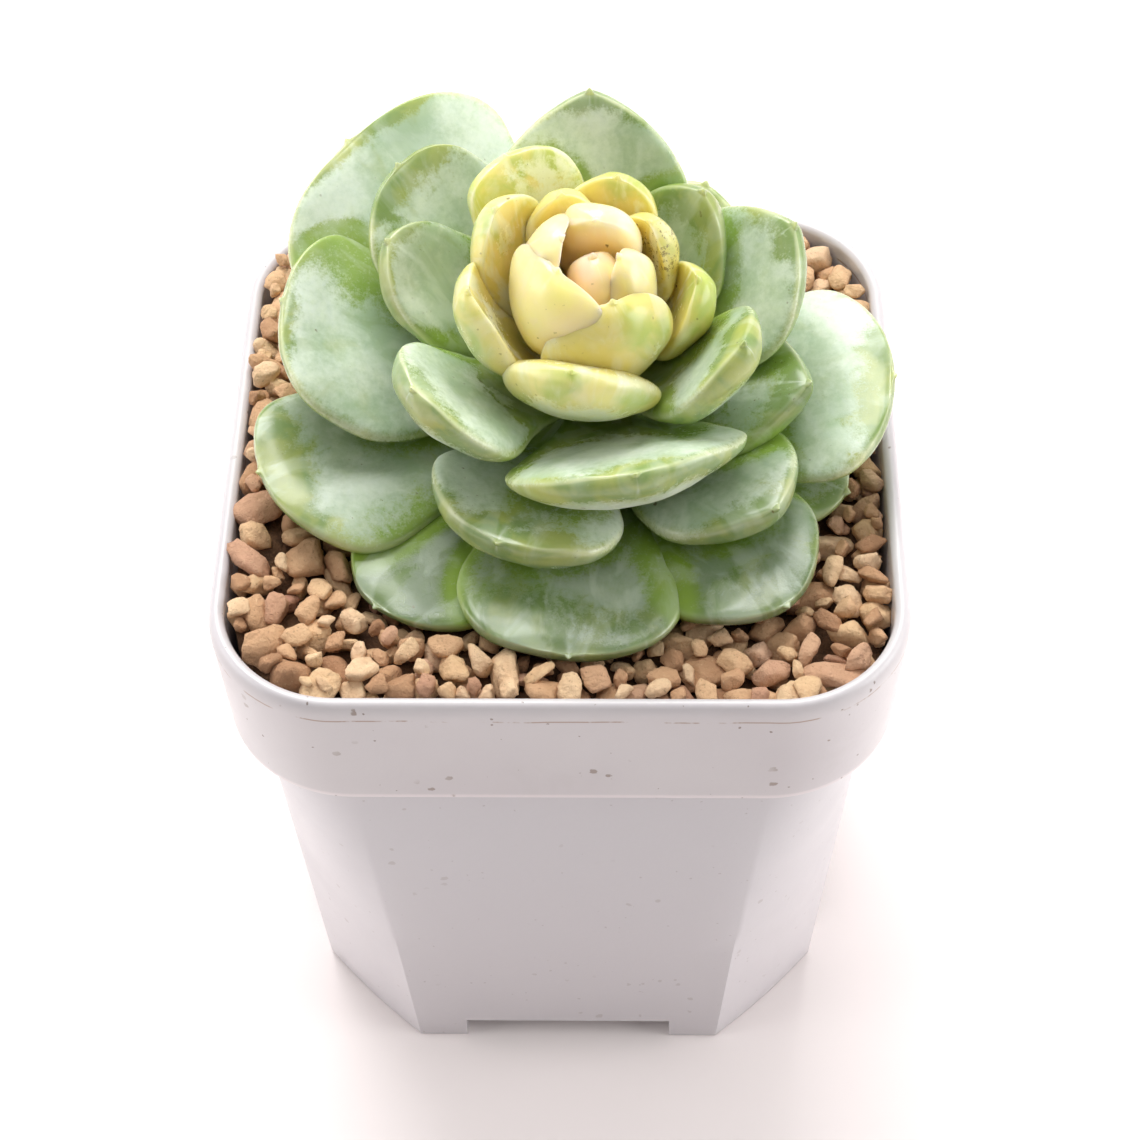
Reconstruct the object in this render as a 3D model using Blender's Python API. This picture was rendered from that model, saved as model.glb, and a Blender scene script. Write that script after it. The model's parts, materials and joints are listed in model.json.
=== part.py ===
"""Potted succulent: a rosette of thick leaves on a short stem, in a square white plastic pot.

Run with: blender --background --python part.py
Metres, +Z up. The origin is the middle of the pot's footprint, on the surface that it stands on;
-Y is the front. Every leaf is its own solid, in the rosette's own frame: the stem leans to the front.
"""

import math

import bmesh
import bpy
from mathutils import Matrix, Vector

MM = 0.001
GAP = 0.3 * MM  # left between two pieces that touch

# Pot
RIM_WIDTH = 70.0 * MM  # across the rim, outside
POT_HEIGHT = 73.0 * MM
WALL = 1.7 * MM
BAND_HEIGHT = 16.0 * MM  # the thick-looking band under the rim
BAND_DRAFT = 0.7 * MM  # how much narrower each side of the band is at its lower edge
BAND_STEP = 2.2 * MM  # from the band's lower edge in to the body
BASE_WIDTH = 57.6 * MM
RIM_CORNER = 13.5 * MM
BODY_CORNER = 11.0 * MM
BASE_CHAMFER = 11.4 * MM
FLOOR_UNDERSIDE = 4.6 * MM  # the feet hold the floor this far up
FOOT_NOTCH_WIDTH = 23.8 * MM
FOOT_NOTCH_HEIGHT = 3.8 * MM
DRAIN_RADIUS = 3.0 * MM
DRAIN_CIRCLE = 12.0 * MM
CORNER_STEPS = 6

# Filling
SOIL_DEPTH_BELOW_RIM = 8.5 * MM
GRIT_BELOW_RIM = 3.0 * MM  # mean level of the grit on top
GRIT_BUMP = 0.7 * MM
GRIT_RINGS = 9
LEAF_OVER_GRIT = 0.6 * MM

# Plant, in the rosette's frame: +Z along the leaning stem, from the grit's surface up
CROWN_X = 3.3 * MM
CROWN_Y = 4.5 * MM
LEAN = math.radians(13.0)  # towards the front
STEM_RADIUS = 4.2 * MM
STEM_TOP_RADIUS = 1.6 * MM
STEM_HEIGHT = 21.5 * MM
TABLE_STEM_HEIGHT = 21.5 * MM  # the stem that the heights in LEAVES are for; they follow the real one
STEM_BURIED = 22.0 * MM
STEM_SIDES = 14

# Leaf mesh
LEAF_STATIONS = (0.0, 0.16, 0.34, 0.52, 0.68, 0.81, 0.91, 0.97)
LEAF_SIDES = 10
MUCRO = 0.9 * MM  # the little point that ends each leaf
PRESS_GAP = 0.35 * MM  # kept between two leaves that lie against each other
WELD = 0.01 * MM

# One row for each leaf, from the heart outwards, in degrees and millimetres:
# name, azimuth (0 is +X, 270 the front), foot height on the stem, reach and height of the tip,
# width, thickness, sag of the midline under its chord, roll about the midline, cup of the blade
LEAVES = (
    ("heart_bud", 80, 21.0, 0.6, 32.2, 3.8, 3.4, 0.3, 0, 0.0),
    ("heart_leaf_1", 80, 20.0, 2.6, 35.0, 9.0, 4.4, 1.6, 0, 0.0),
    ("heart_leaf_2", 170, 19.6, 2.8, 35.2, 10.0, 3.0, 3.2, 0, 0.28),
    ("heart_leaf_3", 340, 19.0, 2.8, 34.2, 8.6, 2.8, 2.4, 0, 0.28),
    ("heart_leaf_4", 224, 18.4, 4.4, 34.8, 12.6, 3.0, 3.2, 0, 0.35),
    ("inner_leaf_1", 40, 17.6, 7.2, 31.6, 8.4, 3.0, 2.6, 0, 0.25),
    ("inner_leaf_2", 291, 17.0, 5.8, 33.0, 12.8, 3.0, 3.4, 0, 0.35),
    ("inner_leaf_3", 112, 16.6, 8.0, 32.2, 8.6, 3.0, 2.4, 0, 0.2),
    ("inner_leaf_4", 151, 16.0, 10.6, 33.0, 10.8, 3.4, 2.8, 0, 0.25),
    ("inner_leaf_5", 0, 15.6, 10.2, 28.8, 9.8, 3.4, 2.6, 0, 0.3),
    ("inner_leaf_6", 76, 15.0, 10.4, 31.2, 10.2, 3.4, 2.4, 0, 0.2),
    ("inner_leaf_7", 197, 14.6, 12.2, 32.2, 11.4, 3.4, 2.6, 0, 0.3),
    ("inner_leaf_8", 261, 14.0, 11.4, 30.4, 14.2, 4.8, 1.2, 0, 0.05),
    ("inner_leaf_9", 124, 13.4, 15.4, 30.8, 12.8, 3.8, 2.6, 0, 0.2),
    ("middle_leaf_1", 331, 12.8, 16.4, 30.0, 14.0, 4.4, 2.6, 0, 0.15),
    ("middle_leaf_2", 165, 12.2, 20.8, 27.2, 14.0, 4.4, 2.6, 0, 0.2),
    ("middle_leaf_3", 47, 11.6, 16.0, 26.4, 11.8, 4.4, 2.6, 0, 0.2),
    ("middle_leaf_4", 215, 11.0, 20.6, 28.0, 16.0, 4.8, 2.6, 0, 0.15),
    ("middle_leaf_5", 91, 10.4, 20.5, 31.0, 20.0, 4.8, 2.8, 0, 0.2),
    ("middle_leaf_6", 282, 9.8, 20.4, 26.2, 22.5, 5.2, 2.4, 0, 0.08),
    ("middle_leaf_7", 24, 9.2, 21.8, 24.8, 17.4, 4.8, 2.6, 0, 0.15),
    ("middle_leaf_8", 141, 8.6, 25.2, 25.0, 18.0, 4.6, 2.6, 0, 0.15),
    ("middle_leaf_9", 346, 8.0, 22.0, 18.2, 14.4, 4.6, 2.2, 0, 0.12),
    ("outer_leaf_1", 248, 7.4, 24.2, 17.0, 20.4, 5.0, 2.2, 0, 0.12),
    ("outer_leaf_2", 139, 6.8, 33.6, 20.5, 25.0, 4.8, 2.4, 0, 0.12),
    ("outer_leaf_3", 174, 6.4, 31.2, 19.8, 21.5, 5.0, 2.4, 0, 0.12),
    ("outer_leaf_4", 314, 6.0, 25.8, 16.8, 17.0, 5.0, 2.0, 0, 0.1),
    ("outer_leaf_5", 58, 5.8, 21.6, 18.2, 15.0, 4.6, 2.2, 0, 0.1),
    ("outer_leaf_6", 357, 5.4, 30.3, 13.4, 21.0, 5.2, 2.0, 0, 0.1),
    ("outer_leaf_7", 200, 5.0, 35.4, 12.2, 20.0, 5.2, 1.8, 0, 0.1),
    ("outer_leaf_8", 95, 4.6, 26.0, 12.5, 15.0, 4.4, 1.6, 0, 0.1),
    ("outer_leaf_9", 266, 4.2, 31.6, 10.7, 21.0, 5.2, 1.2, 0, 0.1),
    ("outer_leaf_10", 22, 3.8, 24.4, 8.5, 11.0, 4.2, 1.4, 0, 0.1),
    ("outer_leaf_11", 306, 3.4, 32.4, 11.0, 18.0, 4.8, 1.0, 0, 0.1),
    ("outer_leaf_12", 230, 3.0, 33.2, 9.0, 18.6, 4.6, 1.0, 0, 0.1),
    ("outer_leaf_13", 150, 2.8, 24.0, 6.0, 13.0, 4.2, 1.2, 0, 0.1),
    ("outer_leaf_14", 190, 2.2, 28.5, 7.0, 12.0, 4.2, 1.0, 0, 0.1),
    ("outer_leaf_15", 337, 2.0, 28.0, 6.0, 12.0, 4.2, 0.8, 0, 0.1),
    ("outer_leaf_16", 285, 1.6, 27.0, 6.6, 12.0, 3.8, 0.6, 0, 0.1),
)


def clear_scene():
    for obj in list(bpy.data.objects):
        bpy.data.objects.remove(obj, do_unlink=True)


def material(name, colour, roughness):
    made = bpy.data.materials.new(name)
    made.use_nodes = True
    shader = made.node_tree.nodes["Principled BSDF"]
    shader.inputs["Base Color"].default_value = (*colour, 1.0)
    shader.inputs["Roughness"].default_value = roughness
    shader.inputs["Metallic"].default_value = 0.0
    return made


def add_object(name, bm, finish, smooth=True):
    mesh = bpy.data.meshes.new(name)
    bm.to_mesh(mesh)
    bm.free()
    if smooth:
        mesh.shade_smooth()
        mesh.set_sharp_from_angle(angle=math.radians(35))
    obj = bpy.data.objects.new(name, mesh)
    bpy.context.scene.collection.objects.link(obj)
    if finish:
        mesh.materials.append(finish)
    return obj


def add_cutter(name, bm):
    cutter = add_object(name, bm, None, smooth=False)
    cutter.hide_render = True
    cutter.display_type = "WIRE"
    return cutter


def cut(obj, cutter):
    modifier = obj.modifiers.new("cut_" + cutter.name, "BOOLEAN")
    modifier.operation = "DIFFERENCE"
    modifier.solver = "EXACT"
    modifier.object = cutter


# --- square, round-cornered outlines ---------------------------------------------------------


def square_outline(half, corner, z, roundness=1.0):
    """Points of a square loop. roundness 1 gives round corners, 0 straight chamfers."""
    points = []
    for quarter in range(4):
        turn = Matrix.Rotation(math.radians(90 * quarter), 3, "Z")
        start = Vector((half, half - corner))
        end = Vector((half - corner, half))
        centre = Vector((half - corner, half - corner))
        for step in range(CORNER_STEPS + 1):
            share = step / CORNER_STEPS
            angle = math.radians(90 * share)
            arc = centre + corner * Vector((math.cos(angle), math.sin(angle)))
            point = start.lerp(end, share).lerp(arc, roundness)
            points.append(turn @ Vector((point.x, point.y, z)))
    return points


def loft(loops):
    """A closed solid through a chain of loops with equal counts, its first and last loop capped."""
    bm = bmesh.new()
    rings = [[bm.verts.new(point) for point in loop] for loop in loops]
    count = len(rings[0])
    for lower, upper in zip(rings, rings[1:]):
        for i in range(count):
            j = (i + 1) % count
            bm.faces.new((lower[i], lower[j], upper[j], upper[i]))
    bm.faces.new(list(reversed(rings[0])))
    bm.faces.new(rings[-1])
    bmesh.ops.recalc_face_normals(bm, faces=bm.faces)
    return bm


# --- pot --------------------------------------------------------------------------------------

RIM_HALF = RIM_WIDTH / 2
BASE_HALF = BASE_WIDTH / 2
BAND_FOOT_Z = POT_HEIGHT - BAND_HEIGHT
BAND_FOOT_HALF = RIM_HALF - BAND_DRAFT
BODY_TOP_HALF = BAND_FOOT_HALF - BAND_STEP
FLOOR_TOP_Z = FLOOR_UNDERSIDE + WALL
LIP_ROUND = 0.5 * MM
LEDGE_Z = BAND_FOOT_Z + WALL  # inside, the wall steps in over this ledge
LEDGE_RISE = 2.0 * MM


def body_half_at(z):
    return BASE_HALF + (BODY_TOP_HALF - BASE_HALF) * z / BAND_FOOT_Z


def body_outline(z, inset=0.0):
    """The body's cross-section: chamfered at the base, round-cornered under the band."""
    share = z / BAND_FOOT_Z
    corner = BASE_CHAMFER + (BODY_CORNER - BASE_CHAMFER) * share
    roundness = min(1.0, 0.12 + 0.88 * share**2)
    return square_outline(body_half_at(z) - inset, corner - 0.6 * inset, z, roundness)


def band_outline(z, inset=0.0, roundness=1.0):
    share = (z - BAND_FOOT_Z) / BAND_HEIGHT
    half = BAND_FOOT_HALF + BAND_DRAFT * share
    return square_outline(half - inset, RIM_CORNER - inset, z, roundness)


def build_pot(finish):
    loops = [
        body_outline(FLOOR_UNDERSIDE, WALL),
        body_outline(0.0, WALL),
        body_outline(0.0),
        body_outline(0.3 * BAND_FOOT_Z),
        body_outline(0.62 * BAND_FOOT_Z),
        body_outline(BAND_FOOT_Z),
        band_outline(BAND_FOOT_Z),
        band_outline(POT_HEIGHT - LIP_ROUND),
        band_outline(POT_HEIGHT, LIP_ROUND),
        band_outline(POT_HEIGHT, WALL - LIP_ROUND),
        band_outline(POT_HEIGHT - LIP_ROUND, WALL),
        band_outline(LEDGE_Z, WALL),
        body_outline(LEDGE_Z - LEDGE_RISE, WALL),
        body_outline(0.5 * BAND_FOOT_Z, WALL),
        body_outline(FLOOR_TOP_Z, WALL),
    ]
    pot = add_object("pot", loft(loops), finish)
    for name, size in (
        ("foot_notch_x", (BASE_WIDTH * 1.5, FOOT_NOTCH_WIDTH)),
        ("foot_notch_y", (FOOT_NOTCH_WIDTH, BASE_WIDTH * 1.5)),
    ):
        bm = bmesh.new()
        bmesh.ops.create_cube(bm, size=1.0)
        bm.transform(Matrix.Diagonal((*size, 2 * FOOT_NOTCH_HEIGHT, 1.0)))
        cut(pot, add_cutter(name, bm))
    bm = bmesh.new()
    spots = [(0.0, 0.0)] + [
        (DRAIN_CIRCLE * math.cos(a), DRAIN_CIRCLE * math.sin(a))
        for a in (math.radians(45 + 90 * k) for k in range(4))
    ]
    for x, y in spots:
        bmesh.ops.create_cone(
            bm, cap_ends=True, segments=12, radius1=DRAIN_RADIUS, radius2=DRAIN_RADIUS,
            depth=4 * WALL, matrix=Matrix.Translation((x, y, FLOOR_UNDERSIDE + WALL / 2)),
        )
    cut(pot, add_cutter("drain_holes", bm))
    return pot


# --- soil and grit ----------------------------------------------------------------------------

SOIL_TOP_Z = POT_HEIGHT - SOIL_DEPTH_BELOW_RIM
GRIT_TOP_Z = POT_HEIGHT - GRIT_BELOW_RIM
CROWN = Vector((CROWN_X, CROWN_Y, GRIT_TOP_Z))
ROSETTE = Matrix.Translation(CROWN) @ Matrix.Rotation(LEAN, 4, "X")


def stem_outline(radius, height):
    return [
        ROSETTE @ Vector((radius * math.cos(a), radius * math.sin(a), height))
        for a in (2 * math.pi * k / STEM_SIDES for k in range(STEM_SIDES))
    ]


def stem_radius_at(height):
    share = min(1.0, max(0.0, height / STEM_HEIGHT))
    return STEM_RADIUS + (STEM_TOP_RADIUS - STEM_RADIUS) * share**1.5


def stem_bm(extra=0.0):
    """The stem, from its root in the soil to its growing tip. extra fattens it, as a cutter."""
    loops = [
        stem_outline(0.35 * STEM_RADIUS + extra, -STEM_BURIED - extra),
        stem_outline(0.8 * STEM_RADIUS + extra, -0.6 * STEM_BURIED),
    ]
    loops += [
        stem_outline(stem_radius_at(share * STEM_HEIGHT) + extra, share * STEM_HEIGHT)
        for share in (0.0, 0.3, 0.6, 0.85, 1.0)
    ]
    return loft(loops)


def grit_surface(x, y):
    """Height of the grit's top: a low mound of bumps as wide as the stones."""
    bumps = math.sin(x / MM * 1.9 + 0.7) * math.cos(y / MM * 1.7 - 0.4)
    bumps += 0.6 * math.sin((x + y) / MM * 1.1 + 2.0)
    return GRIT_TOP_Z - GRIT_BUMP + GRIT_BUMP * bumps / 1.6


def cavity_loops(clearance):
    """The pot's inner wall from its floor to the foot of the rim band, drawn in by clearance."""
    lift = Vector((0.0, 0.0, clearance))
    loops = [
        body_outline(FLOOR_TOP_Z, WALL + clearance),
        body_outline(0.5 * BAND_FOOT_Z, WALL + clearance),
        body_outline(LEDGE_Z - LEDGE_RISE, WALL + clearance),
        band_outline(LEDGE_Z, WALL + clearance),
    ]
    return [[point + lift for point in loop] for loop in loops]


def resting_height(spot, leaves):
    """Where the grit's surface is: its mound, or lower where a leaf lies on it."""
    height = grit_surface(spot.x, spot.y)
    for leaf in leaves:
        start = Vector((spot.x, spot.y, SOIL_TOP_Z))
        struck, place, _, _ = leaf.ray_cast(start, Vector((0.0, 0.0, 1.0)))
        if struck:
            height = min(height, place.z - LEAF_OVER_GRIT)
    return max(height, SOIL_TOP_Z + 2 * MM)


def build_filling(soil_finish, grit_finish, leaves):
    inset = WALL + GAP
    soil_loops = cavity_loops(2 * GAP) + [band_outline(SOIL_TOP_Z, inset)]
    soil = add_object("potting_soil", loft(soil_loops), soil_finish, smooth=False)
    edge = band_outline(GRIT_TOP_Z - 2 * GRIT_BUMP, inset)
    loops = [band_outline(SOIL_TOP_Z + GAP, inset), edge]
    for ring in range(1, GRIT_RINGS):
        loop = []
        for point in edge:
            spot = point * (1 - ring / GRIT_RINGS)
            loop.append(Vector((spot.x, spot.y, resting_height(spot, leaves))))
        loops.append(loop)
    grit = add_object("grit_layer", loft(loops), grit_finish, smooth=False)
    hole = add_cutter("stem_hole", stem_bm(extra=GAP))
    cut(soil, hole)
    cut(grit, hole)
    press_off(grit, leaves)


# --- leaves -----------------------------------------------------------------------------------


def blade_width(t):
    """Half-width of a leaf at share t of its length: a narrow foot, widest beyond the middle."""
    foot, widest = 0.34, 0.66
    if t <= widest:
        s = t / widest
        return foot + (1 - foot) * s * s * (3 - 2 * s)
    s = (t - widest) / (1 - widest)
    return math.sqrt(max(0.0, 1 - s**2.3))


def blade_thickness(t):
    """Half-thickness: half as thick at the foot, fullest past the middle, thin at the tip."""
    s = min(1.0, t / 0.55)
    body = 0.5 + 0.5 * s * s * (3 - 2 * s)
    return body * math.sqrt(max(0.0, 1 - max(0.0, (t - 0.45) / 0.55) ** 2.2))


def leaf_points(foot, reach, rise, width, thick, sag, roll, cup):
    """Rings of a leaf in its own plane, out along +X, and its mucro. Sizes in metres."""
    start = Vector((stem_radius_at(foot) + GAP, 0.0, foot))
    end = Vector((reach, 0.0, rise))
    chord = end - start
    down = Vector((chord.z, 0.0, -chord.x)).normalized()
    control = start + 0.5 * chord + 2 * sag * down

    def midline(t):
        return (1 - t) ** 2 * start + 2 * t * (1 - t) * control + t * t * end

    rings = []
    for t in LEAF_STATIONS:
        along = (2 * (1 - t) * (control - start) + 2 * t * (end - control)).normalized()
        side = Matrix.Rotation(roll * min(1.0, 2 * t), 3, along) @ Vector((0.0, 1.0, 0.0))
        normal = along.cross(side)
        half = 0.5 * width * blade_width(t)
        deep = 0.5 * thick * blade_thickness(t)
        ring = []
        for k in range(LEAF_SIDES):
            angle = 2 * math.pi * k / LEAF_SIDES
            across = math.cos(angle)
            up = math.sin(angle) * (0.75 if math.sin(angle) > 0 else 1.25)
            lift = cup * half * across * across
            ring.append(midline(t) + side * half * across + normal * (deep * up + lift))
        rings.append(ring)
    return rings, end + MUCRO * (end - control).normalized()


def inflated(mesh, amount):
    bm = bmesh.new()
    bm.from_mesh(mesh)
    bm.normal_update()
    for vert in bm.verts:
        vert.co += vert.normal * amount
    return bm


def boxes_meet(one, other):
    for axis in range(3):
        first = [vert.co[axis] for vert in one.data.vertices]
        second = [vert.co[axis] for vert in other.data.vertices]
        if min(first) > max(second) + PRESS_GAP or min(second) > max(first) + PRESS_GAP:
            return False
    return True


def keep_largest(bm):
    """Drops the loose scraps that a cut can leave."""
    unseen = set(bm.verts)
    pieces = []
    while unseen:
        stack = [unseen.pop()]
        piece = list(stack)
        while stack:
            for edge in stack.pop().link_edges:
                for vert in edge.verts:
                    if vert in unseen:
                        unseen.remove(vert)
                        stack.append(vert)
                        piece.append(vert)
        pieces.append(piece)
    pieces.sort(key=len, reverse=True)
    for piece in pieces[1:]:
        bmesh.ops.delete(bm, geom=piece, context="VERTS")


def press_off(obj, others):
    """Flattens obj where it lies against the others, leaving a small gap."""
    touching = [other for other in others if boxes_meet(obj, other)]
    if not touching:
        return
    cutters = []
    for other in touching:
        cutter = add_cutter("press", inflated(other.data, PRESS_GAP))
        cut(obj, cutter)
        cutters.append(cutter)
    depsgraph = bpy.context.evaluated_depsgraph_get()
    mesh = bpy.data.meshes.new_from_object(obj.evaluated_get(depsgraph))
    obj.modifiers.clear()
    bm = bmesh.new()
    bm.from_mesh(mesh)
    bmesh.ops.remove_doubles(bm, verts=bm.verts, dist=WELD)
    bmesh.ops.dissolve_degenerate(bm, edges=bm.edges, dist=WELD)
    keep_largest(bm)
    bm.to_mesh(obj.data)
    bm.free()
    for cutter in cutters:
        bpy.data.objects.remove(cutter)


def build_leaf(row, finish, placed):
    name, azimuth, foot, reach, rise, width, thick, sag, roll, cup = row
    lift = STEM_HEIGHT / TABLE_STEM_HEIGHT
    rings, tip = leaf_points(
        foot * lift * MM, reach * MM, rise * lift * MM, width * MM, thick * MM, sag * MM,
        math.radians(roll), cup,
    )
    place = ROSETTE @ Matrix.Rotation(math.radians(azimuth), 4, "Z")
    bm = bmesh.new()
    loops = [[bm.verts.new(place @ point) for point in ring] for ring in rings]
    for lower, upper in zip(loops, loops[1:]):
        for i in range(LEAF_SIDES):
            j = (i + 1) % LEAF_SIDES
            bm.faces.new((lower[i], lower[j], upper[j], upper[i]))
    bm.faces.new(list(reversed(loops[0])))
    point = bm.verts.new(place @ tip)
    for i in range(LEAF_SIDES):
        bm.faces.new((loops[-1][i], loops[-1][(i + 1) % LEAF_SIDES], point))
    bmesh.ops.recalc_face_normals(bm, faces=bm.faces)
    leaf = add_object(name, bm, finish)
    press_off(leaf, placed)
    placed.append(leaf)


def main():
    clear_scene()
    white = material("white_plastic", (0.86, 0.85, 0.86), 0.35)
    earth = material("potting_soil", (0.08, 0.055, 0.04), 0.95)
    grit = material("tan_grit", (0.62, 0.42, 0.25), 0.9)
    stalk = material("stem", (0.42, 0.40, 0.24), 0.7)
    leaf_green = material("leaf_green", (0.42, 0.58, 0.36), 0.45)
    leaf_yellow = material("leaf_yellow", (0.82, 0.74, 0.38), 0.4)
    leaf_cream = material("leaf_cream", (0.92, 0.74, 0.52), 0.4)
    build_pot(white)
    placed = [add_object("stem", stem_bm(), stalk)]
    finishes = {"heart": leaf_cream, "inner": leaf_yellow}
    for row in LEAVES:
        build_leaf(row, finishes.get(row[0].split("_")[0], leaf_green), placed)
    build_filling(earth, grit, placed[1:])


main()
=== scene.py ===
"""A potted succulent: waxy leaves, loose grit and a white plastic pot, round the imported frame.

Metres, +Z up, -Y the front. Lengths in the tables are in millimetres.
"""

import json
import math
import random

import bmesh
import bpy
import numpy as np
from mathutils import Matrix, Vector, noise
from mathutils.bvhtree import BVHTree

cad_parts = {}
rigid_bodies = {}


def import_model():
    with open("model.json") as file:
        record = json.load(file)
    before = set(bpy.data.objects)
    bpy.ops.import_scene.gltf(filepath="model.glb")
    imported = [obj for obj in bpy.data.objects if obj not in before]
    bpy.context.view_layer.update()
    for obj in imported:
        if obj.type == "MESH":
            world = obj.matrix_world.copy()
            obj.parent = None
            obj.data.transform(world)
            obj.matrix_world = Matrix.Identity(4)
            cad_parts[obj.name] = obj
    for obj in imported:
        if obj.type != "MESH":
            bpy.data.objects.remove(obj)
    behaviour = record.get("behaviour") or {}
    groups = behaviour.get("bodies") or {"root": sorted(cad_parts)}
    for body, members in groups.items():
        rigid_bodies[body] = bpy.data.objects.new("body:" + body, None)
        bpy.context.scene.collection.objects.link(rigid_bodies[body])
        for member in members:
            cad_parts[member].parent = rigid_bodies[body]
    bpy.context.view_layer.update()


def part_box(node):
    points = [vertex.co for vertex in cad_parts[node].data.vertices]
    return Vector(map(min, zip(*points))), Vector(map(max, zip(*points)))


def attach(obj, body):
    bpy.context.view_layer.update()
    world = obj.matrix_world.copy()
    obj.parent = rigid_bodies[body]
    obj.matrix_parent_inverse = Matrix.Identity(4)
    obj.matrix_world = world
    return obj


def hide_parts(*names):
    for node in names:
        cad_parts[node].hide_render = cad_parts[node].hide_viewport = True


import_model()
MM = 0.001

RIM_HALF, _, POT_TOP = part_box("pot")[1]

# The rosette's own frame, as in the CAD model
CROWN = Vector((3.3 * MM, 4.5 * MM, POT_TOP - 3.0 * MM))
ROSETTE = Matrix.Translation(CROWN) @ Matrix.Rotation(math.radians(13.0), 4, "X")
STEM_RADIUS = 4.2
STEM_TOP_RADIUS = 1.6
STEM_HEIGHT = 21.5

# name, azimuth, foot height, reach and height of the tip, width, thickness, sag, roll, cup
LEAVES = (
    ("heart_bud", 290, 21.0, 0.4, 33.3, 6.2, 5.6, 0.3, 0, 0.0),
    ("heart_leaf_1", 80, 20.0, 2.6, 35.0, 9.0, 4.4, 1.6, 0, 0.0),
    ("heart_leaf_2", 170, 19.6, 2.8, 35.2, 10.0, 3.0, 3.2, 0, 0.28),
    ("heart_leaf_3", 340, 19.0, 2.8, 34.2, 8.6, 2.8, 2.4, 0, 0.28),
    ("heart_leaf_4", 224, 18.4, 4.4, 34.8, 12.6, 3.0, 3.2, 0, 0.35),
    ("inner_leaf_1", 40, 17.6, 7.2, 31.6, 8.4, 3.0, 2.6, 0, 0.25),
    ("inner_leaf_2", 291, 17.0, 5.8, 33.0, 12.8, 3.0, 3.4, 0, 0.35),
    ("inner_leaf_3", 112, 16.6, 8.0, 32.2, 8.6, 3.0, 2.4, 0, 0.2),
    ("inner_leaf_4", 151, 16.0, 10.6, 33.0, 10.8, 3.4, 2.8, 0, 0.25),
    ("inner_leaf_5", 0, 15.6, 10.2, 28.8, 9.8, 3.4, 2.6, 0, 0.3),
    ("inner_leaf_6", 76, 15.0, 10.4, 31.2, 10.2, 3.4, 2.4, 0, 0.2),
    ("inner_leaf_7", 197, 14.6, 12.2, 32.2, 11.4, 3.4, 2.6, 0, 0.3),
    ("inner_leaf_8", 261, 14.0, 11.4, 30.4, 14.2, 4.8, 1.2, 0, 0.05),
    ("inner_leaf_9", 124, 13.4, 15.4, 30.8, 12.8, 3.8, 2.6, 0, 0.2),
    ("middle_leaf_1", 331, 12.8, 16.4, 30.0, 14.0, 4.4, 2.6, 0, 0.15),
    ("middle_leaf_2", 165, 12.2, 20.8, 27.2, 14.0, 4.4, 2.6, 0, 0.2),
    ("middle_leaf_3", 47, 11.6, 16.0, 26.4, 11.8, 4.4, 2.6, 0, 0.2),
    ("middle_leaf_4", 215, 11.0, 20.6, 28.0, 16.0, 4.8, 2.6, 0, 0.15),
    ("middle_leaf_5", 91, 10.4, 20.5, 31.0, 20.0, 4.8, 2.8, 0, 0.2),
    ("middle_leaf_6", 282, 9.8, 20.4, 26.2, 22.5, 5.2, 2.4, 0, 0.08),
    ("middle_leaf_7", 24, 9.2, 21.8, 24.8, 17.4, 4.8, 2.6, 0, 0.15),
    ("middle_leaf_8", 141, 8.6, 25.2, 25.0, 18.0, 4.6, 2.6, 0, 0.15),
    ("middle_leaf_9", 346, 8.0, 22.0, 18.2, 14.4, 4.6, 2.2, 0, 0.12),
    ("outer_leaf_1", 248, 7.4, 24.2, 17.0, 20.4, 5.0, 2.2, 0, 0.12),
    ("outer_leaf_2", 139, 6.8, 33.6, 20.5, 25.0, 4.8, 2.4, 0, 0.12),
    ("outer_leaf_3", 174, 6.4, 31.2, 19.8, 21.5, 5.0, 2.4, 0, 0.12),
    ("outer_leaf_4", 314, 6.0, 25.8, 16.8, 17.0, 5.0, 2.0, 0, 0.1),
    ("outer_leaf_5", 58, 5.8, 21.6, 18.2, 15.0, 4.6, 2.2, 0, 0.1),
    ("outer_leaf_6", 357, 5.4, 30.3, 13.4, 21.0, 5.2, 2.0, 0, 0.1),
    ("outer_leaf_7", 200, 5.0, 35.4, 12.2, 20.0, 5.2, 1.8, 0, 0.1),
    ("outer_leaf_8", 95, 4.6, 26.0, 12.5, 15.0, 4.4, 1.6, 0, 0.1),
    ("outer_leaf_9", 266, 4.2, 31.6, 10.7, 21.0, 5.2, 1.2, 0, 0.1),
    ("outer_leaf_10", 22, 3.8, 24.4, 8.5, 11.0, 4.2, 1.4, 0, 0.1),
    ("outer_leaf_11", 306, 3.4, 32.4, 11.0, 18.0, 4.8, 1.0, 0, 0.1),
    ("outer_leaf_12", 230, 3.0, 33.2, 9.0, 18.6, 4.6, 1.0, 0, 0.1),
    ("outer_leaf_13", 150, 2.8, 24.0, 6.0, 13.0, 4.2, 1.2, 0, 0.1),
    ("outer_leaf_14", 190, 2.2, 28.5, 7.0, 12.0, 4.2, 1.0, 0, 0.1),
    ("outer_leaf_15", 337, 2.0, 28.0, 6.0, 12.0, 4.2, 0.8, 0, 0.1),
    ("outer_leaf_16", 285, 1.6, 27.0, 6.6, 12.0, 3.8, 0.6, 0, 0.1),
)

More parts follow.
